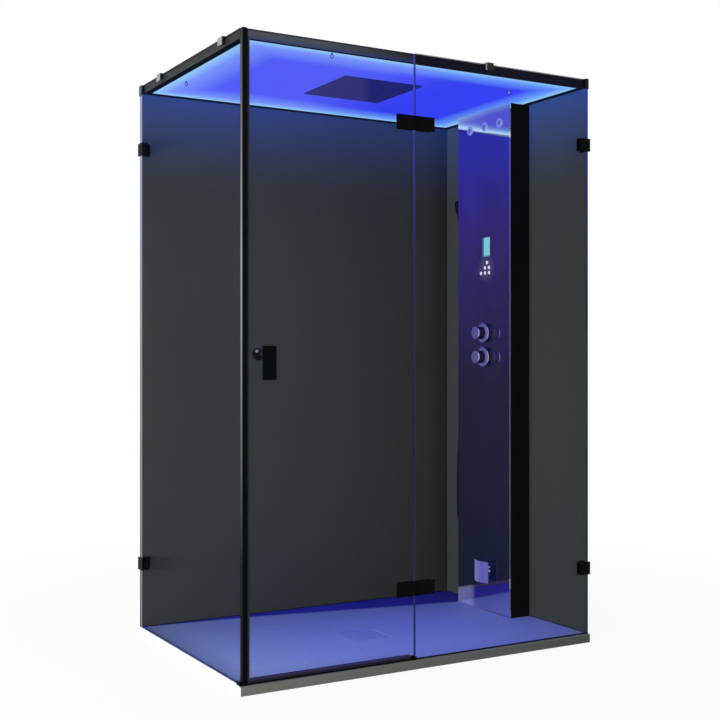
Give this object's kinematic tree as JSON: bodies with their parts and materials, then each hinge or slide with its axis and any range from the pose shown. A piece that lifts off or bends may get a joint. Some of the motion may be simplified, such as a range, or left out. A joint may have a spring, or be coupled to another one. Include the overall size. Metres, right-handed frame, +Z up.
{
  "type": "steam shower cabin",
  "caption": "Rectangular steam shower cabin: glass front with hinged door, glass side, solid back and end walls, lit roof with rain head, and a steam column with controls.",
  "frame": {"origin": "middle of the tray's underside, on the floor", "axes": "+X along the front towards the steam column, +Y from the front to the back wall, +Z up"},
  "size_m": [1.509, 1.012, 2.2245],
  "materials": {
    "tray_stone": "smooth white cast stone",
    "clear_glass": "clear toughened glass",
    "wall_board": "dark grey gloss board",
    "black_metal": "black satin coating",
    "black_aluminium": "black anodised",
    "clip_metal": "satin grey",
    "cover_steel": "brushed",
    "dark_rubber": "matte",
    "clear_seal": "clear flexible plastic",
    "roof_board": "matte black",
    "light_panel": "opal sheet lit blue",
    "led_light": "lit",
    "chrome": "polished",
    "steel": "brushed",
    "mirror_glass": "dark mirror",
    "lit_display": "lit cyan",
    "lit_button": "lit white",
    "board_green": "printed board",
    "brass": "cast",
    "hose_black": "smooth",
    "silicone": "soft"
  },
  "bodies": {
    "cabin": {"tray": "tray_stone", "drain_flange": "steel", "left_glass_panel": "clear_glass", "fixed_glass_panel": "clear_glass", "back_wall_panel": "wall_board", "right_wall_panel": "wall_board", "panel_seals": "clear_seal", "corner_post": "black_aluminium", "sill_blocks": "black_metal", "threshold_strip": "black_aluminium", "long_roof_rails": "black_aluminium", "short_roof_rails": "black_aluminium", "roof_cover_panel": "roof_board", "ceiling_diffuser": "light_panel", "led_strips": "led_light", "ceiling_fixings": "light_panel", "rain_head_plate": "black_metal", "rain_head_nozzle_mat": "silicone", "rain_head_chamber": "steel", "roof_clips": "clip_metal", "wall_clamps": "black_metal", "fixing_screws": "steel", "hinge_fixed_leaves": "black_metal", "hinge_pins": "steel", "column_housing": "black_metal", "column_mirror_panel": "mirror_glass", "display_screen": "lit_display", "control_board": "board_green", "jet_housings": "chrome", "valve_manifold": "brass", "valve_escutcheons": "chrome", "inlet_fittings": "brass", "internal_pipes": "steel", "steam_generator_tank": "steel", "heating_element": "steel", "steam_outlet_nozzle": "chrome", "steam_outlet_shield": "chrome", "hand_shower_holder": "chrome", "shower_hose": "hose_black", "hose_outlet_elbow": "chrome"},
    "door": {"door_glass": "clear_glass", "door_magnet_strip": "dark_rubber", "door_seals": "dark_rubber", "door_screws": "steel", "hinge_door_leaves": "black_metal", "handle_plate": "black_metal", "inner_door_knob": "black_metal"},
    "drain_lid": {"drain_cover": "cover_steel"},
    "handset": {"hand_shower": "chrome"},
    "diverter": {"diverter_knob": "chrome"},
    "mixer": {"temperature_knob": "chrome"},
    "button_power_cap": {"button_power": "lit_button"},
    "button_steam_cap": {"button_steam": "lit_button"},
    "button_light_cap": {"button_light": "lit_button"},
    "button_minus_cap": {"button_minus": "lit_button"},
    "button_timer_cap": {"button_timer": "lit_button"},
    "button_plus_cap": {"button_plus": "lit_button"},
    "jet_ball_near_swivel": {"jet_ball_near": "black_metal"},
    "jet_ball_middle_swivel": {"jet_ball_middle": "black_metal"},
    "jet_ball_far_swivel": {"jet_ball_far": "black_metal"}
  },
  "joints": [
    {"name": "door_hinge", "type": "hinge", "parent": "cabin", "child": "door", "pos_m": [-0.061, -0.494, 1.1], "axis": [0, 0, 1], "range_deg": [0, 90]},
    {"name": "diverter_turn", "type": "hinge", "parent": "cabin", "child": "diverter", "pos_m": [0.6, 0.044, 1.228], "axis": [1, 0, 0], "range_deg": [-60, 60]},
    {"name": "temperature_turn", "type": "hinge", "parent": "cabin", "child": "mixer", "pos_m": [0.6, 0.044, 1.125], "axis": [1, 0, 0], "range_deg": [-90, 90]},
    {"name": "handset_lift", "type": "slide", "parent": "cabin", "child": "handset", "axis": [0, 0.2419, 0.9703], "range_m": [0, 0.08]},
    {"name": "drain_cover_lift", "type": "slide", "parent": "cabin", "child": "drain_lid", "axis": [0, 0, 1], "range_m": [0, 0.06]},
    {"name": "button_power_press", "type": "slide", "parent": "cabin", "child": "button_power_cap", "axis": [1, 0, 0], "range_m": [0, 0.0012], "stiffness_N_per_m": 800},
    {"name": "button_steam_press", "type": "slide", "parent": "cabin", "child": "button_steam_cap", "axis": [1, 0, 0], "range_m": [0, 0.0012], "stiffness_N_per_m": 800},
    {"name": "button_light_press", "type": "slide", "parent": "cabin", "child": "button_light_cap", "axis": [1, 0, 0], "range_m": [0, 0.0012], "stiffness_N_per_m": 800},
    {"name": "button_minus_press", "type": "slide", "parent": "cabin", "child": "button_minus_cap", "axis": [1, 0, 0], "range_m": [0, 0.0012], "stiffness_N_per_m": 800},
    {"name": "button_timer_press", "type": "slide", "parent": "cabin", "child": "button_timer_cap", "axis": [1, 0, 0], "range_m": [0, 0.0012], "stiffness_N_per_m": 800},
    {"name": "button_plus_press", "type": "slide", "parent": "cabin", "child": "button_plus_cap", "axis": [1, 0, 0], "range_m": [0, 0.0012], "stiffness_N_per_m": 800},
    {"name": "jet_ball_near_tilt", "type": "hinge", "parent": "cabin", "child": "jet_ball_near_swivel", "pos_m": [0.646, -0.052, 2.115], "axis": [0, 1, 0], "range_deg": [-15, 15]},
    {"name": "jet_ball_middle_tilt", "type": "hinge", "parent": "cabin", "child": "jet_ball_middle_swivel", "pos_m": [0.646, 0.054, 2.115], "axis": [0, 1, 0], "range_deg": [-15, 15]},
    {"name": "jet_ball_far_tilt", "type": "hinge", "parent": "cabin", "child": "jet_ball_far_swivel", "pos_m": [0.646, 0.16, 2.115], "axis": [0, 1, 0], "range_deg": [-15, 15]}
  ]
}
